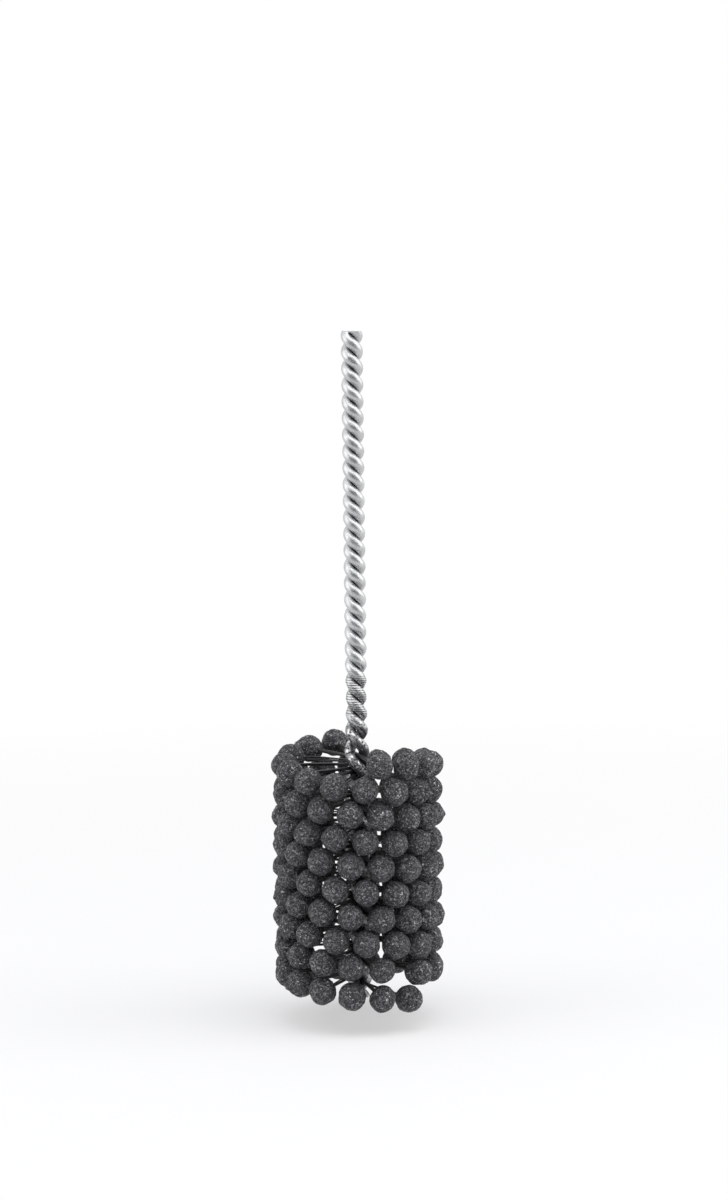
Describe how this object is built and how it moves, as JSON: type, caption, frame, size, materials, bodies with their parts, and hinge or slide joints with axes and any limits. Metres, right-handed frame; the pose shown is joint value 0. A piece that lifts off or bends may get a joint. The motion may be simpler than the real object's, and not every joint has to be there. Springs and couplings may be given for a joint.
{
  "type": "flexible ball hone",
  "caption": "Cylinder hone with a twisted wire shank and rings of abrasive balls on flexible nylon filaments.",
  "frame": {"origin": "on the stem's axis, at the sheared end of the shank, where a chuck holds the tool", "axes": "+Z along the stem's axis, from the brush towards the shank's free end"},
  "size_m": [0.0518, 0.052, 0.203],
  "materials": {
    "stem_wire": "galvanised steel wire, bright, with drawn and clamped marks",
    "nylon_filament": "dark nylon monofilament, semi-gloss",
    "abrasive": "silicon carbide grit in resin, rough, charcoal with pale sparkling grains"
  },
  "bodies": {
    "stem": {"stem_wire_a": "stem_wire", "stem_wire_b": "stem_wire"},
    "filaments_1": {"row_1_filaments": "nylon_filament"},
    "balls_1": {"row_1_balls_a": "abrasive", "row_1_balls_b": "abrasive"},
    "filaments_2": {"row_2_filaments": "nylon_filament"},
    "balls_2": {"row_2_balls_a": "abrasive", "row_2_balls_b": "abrasive"},
    "filaments_3": {"row_3_filaments": "nylon_filament"},
    "balls_3": {"row_3_balls_a": "abrasive", "row_3_balls_b": "abrasive"},
    "filaments_4": {"row_4_filaments": "nylon_filament"},
    "balls_4": {"row_4_balls_a": "abrasive", "row_4_balls_b": "abrasive"},
    "filaments_5": {"row_5_filaments": "nylon_filament"},
    "balls_5": {"row_5_balls_a": "abrasive", "row_5_balls_b": "abrasive"},
    "filaments_6": {"row_6_filaments": "nylon_filament"},
    "balls_6": {"row_6_balls_a": "abrasive", "row_6_balls_b": "abrasive"},
    "filaments_7": {"row_7_filaments": "nylon_filament"},
    "balls_7": {"row_7_balls_a": "abrasive", "row_7_balls_b": "abrasive"},
    "filaments_8": {"row_8_filaments": "nylon_filament"},
    "balls_8": {"row_8_balls_a": "abrasive", "row_8_balls_b": "abrasive"},
    "filaments_9": {"row_9_filaments": "nylon_filament"},
    "balls_9": {"row_9_balls_a": "abrasive", "row_9_balls_b": "abrasive"}
  },
  "joints": [
    {"name": "lag_1", "type": "hinge", "parent": "stem", "child": "filaments_1", "pos_m": [0, 0, 0], "axis": [0, 0, 1], "range_deg": [-12, 12], "stiffness_Nm_per_rad": 0.12, "deforming": ["row_1_filaments"]},
    {"name": "trail_1", "type": "slide", "parent": "filaments_1", "child": "balls_1", "axis": [0, 0, 1], "range_m": [-0.005, 0.005], "stiffness_N_per_m": 265, "springref_m": 0.00038, "deforming": ["row_1_filaments"]},
    {"name": "lag_2", "type": "hinge", "parent": "stem", "child": "filaments_2", "pos_m": [0, 0, 0], "axis": [0, 0, 1], "range_deg": [-12, 12], "stiffness_Nm_per_rad": 0.12, "deforming": ["row_2_filaments"]},
    {"name": "trail_2", "type": "slide", "parent": "filaments_2", "child": "balls_2", "axis": [0, 0, 1], "range_m": [-0.005, 0.005], "stiffness_N_per_m": 265, "springref_m": 0.00038, "deforming": ["row_2_filaments"]},
    {"name": "lag_3", "type": "hinge", "parent": "stem", "child": "filaments_3", "pos_m": [0, 0, 0], "axis": [0, 0, 1], "range_deg": [-12, 12], "stiffness_Nm_per_rad": 0.12, "deforming": ["row_3_filaments"]},
    {"name": "trail_3", "type": "slide", "parent": "filaments_3", "child": "balls_3", "axis": [0, 0, 1], "range_m": [-0.005, 0.005], "stiffness_N_per_m": 265, "springref_m": 0.00038, "deforming": ["row_3_filaments"]},
    {"name": "lag_4", "type": "hinge", "parent": "stem", "child": "filaments_4", "pos_m": [0, 0, 0], "axis": [0, 0, 1], "range_deg": [-12, 12], "stiffness_Nm_per_rad": 0.12, "deforming": ["row_4_filaments"]},
    {"name": "trail_4", "type": "slide", "parent": "filaments_4", "child": "balls_4", "axis": [0, 0, 1], "range_m": [-0.005, 0.005], "stiffness_N_per_m": 265, "springref_m": 0.00038, "deforming": ["row_4_filaments"]},
    {"name": "lag_5", "type": "hinge", "parent": "stem", "child": "filaments_5", "pos_m": [0, 0, 0], "axis": [0, 0, 1], "range_deg": [-12, 12], "stiffness_Nm_per_rad": 0.12, "deforming": ["row_5_filaments"]},
    {"name": "trail_5", "type": "slide", "parent": "filaments_5", "child": "balls_5", "axis": [0, 0, 1], "range_m": [-0.005, 0.005], "stiffness_N_per_m": 265, "springref_m": 0.00038, "deforming": ["row_5_filaments"]},
    {"name": "lag_6", "type": "hinge", "parent": "stem", "child": "filaments_6", "pos_m": [0, 0, 0], "axis": [0, 0, 1], "range_deg": [-12, 12], "stiffness_Nm_per_rad": 0.12, "deforming": ["row_6_filaments"]},
    {"name": "trail_6", "type": "slide", "parent": "filaments_6", "child": "balls_6", "axis": [0, 0, 1], "range_m": [-0.005, 0.005], "stiffness_N_per_m": 265, "springref_m": 0.00038, "deforming": ["row_6_filaments"]},
    {"name": "lag_7", "type": "hinge", "parent": "stem", "child": "filaments_7", "pos_m": [0, 0, 0], "axis": [0, 0, 1], "range_deg": [-12, 12], "stiffness_Nm_per_rad": 0.12, "deforming": ["row_7_filaments"]},
    {"name": "trail_7", "type": "slide", "parent": "filaments_7", "child": "balls_7", "axis": [0, 0, 1], "range_m": [-0.005, 0.005], "stiffness_N_per_m": 265, "springref_m": 0.00038, "deforming": ["row_7_filaments"]},
    {"name": "lag_8", "type": "hinge", "parent": "stem", "child": "filaments_8", "pos_m": [0, 0, 0], "axis": [0, 0, 1], "range_deg": [-12, 12], "stiffness_Nm_per_rad": 0.12, "deforming": ["row_8_filaments"]},
    {"name": "trail_8", "type": "slide", "parent": "filaments_8", "child": "balls_8", "axis": [0, 0, 1], "range_m": [-0.005, 0.005], "stiffness_N_per_m": 265, "springref_m": 0.00038, "deforming": ["row_8_filaments"]},
    {"name": "lag_9", "type": "hinge", "parent": "stem", "child": "filaments_9", "pos_m": [0, 0, 0], "axis": [0, 0, 1], "range_deg": [-12, 12], "stiffness_Nm_per_rad": 0.12, "deforming": ["row_9_filaments"]},
    {"name": "trail_9", "type": "slide", "parent": "filaments_9", "child": "balls_9", "axis": [0, 0, 1], "range_m": [-0.005, 0.005], "stiffness_N_per_m": 265, "springref_m": 0.00038, "deforming": ["row_9_filaments"]}
  ],
  "couplings": [
    {"joint": "lag_2", "follows": "lag_1", "ratio": 1},
    {"joint": "trail_2", "follows": "trail_1", "ratio": 1},
    {"joint": "lag_3", "follows": "lag_1", "ratio": 1},
    {"joint": "trail_3", "follows": "trail_1", "ratio": 1},
    {"joint": "lag_4", "follows": "lag_1", "ratio": 1},
    {"joint": "trail_4", "follows": "trail_1", "ratio": 1},
    {"joint": "lag_5", "follows": "lag_1", "ratio": 1},
    {"joint": "trail_5", "follows": "trail_1", "ratio": 1},
    {"joint": "lag_6", "follows": "lag_1", "ratio": 1},
    {"joint": "trail_6", "follows": "trail_1", "ratio": 1},
    {"joint": "lag_7", "follows": "lag_1", "ratio": 1},
    {"joint": "trail_7", "follows": "trail_1", "ratio": 1},
    {"joint": "lag_8", "follows": "lag_1", "ratio": 1},
    {"joint": "trail_8", "follows": "trail_1", "ratio": 1},
    {"joint": "lag_9", "follows": "lag_1", "ratio": 1},
    {"joint": "trail_9", "follows": "trail_1", "ratio": 1}
  ]
}
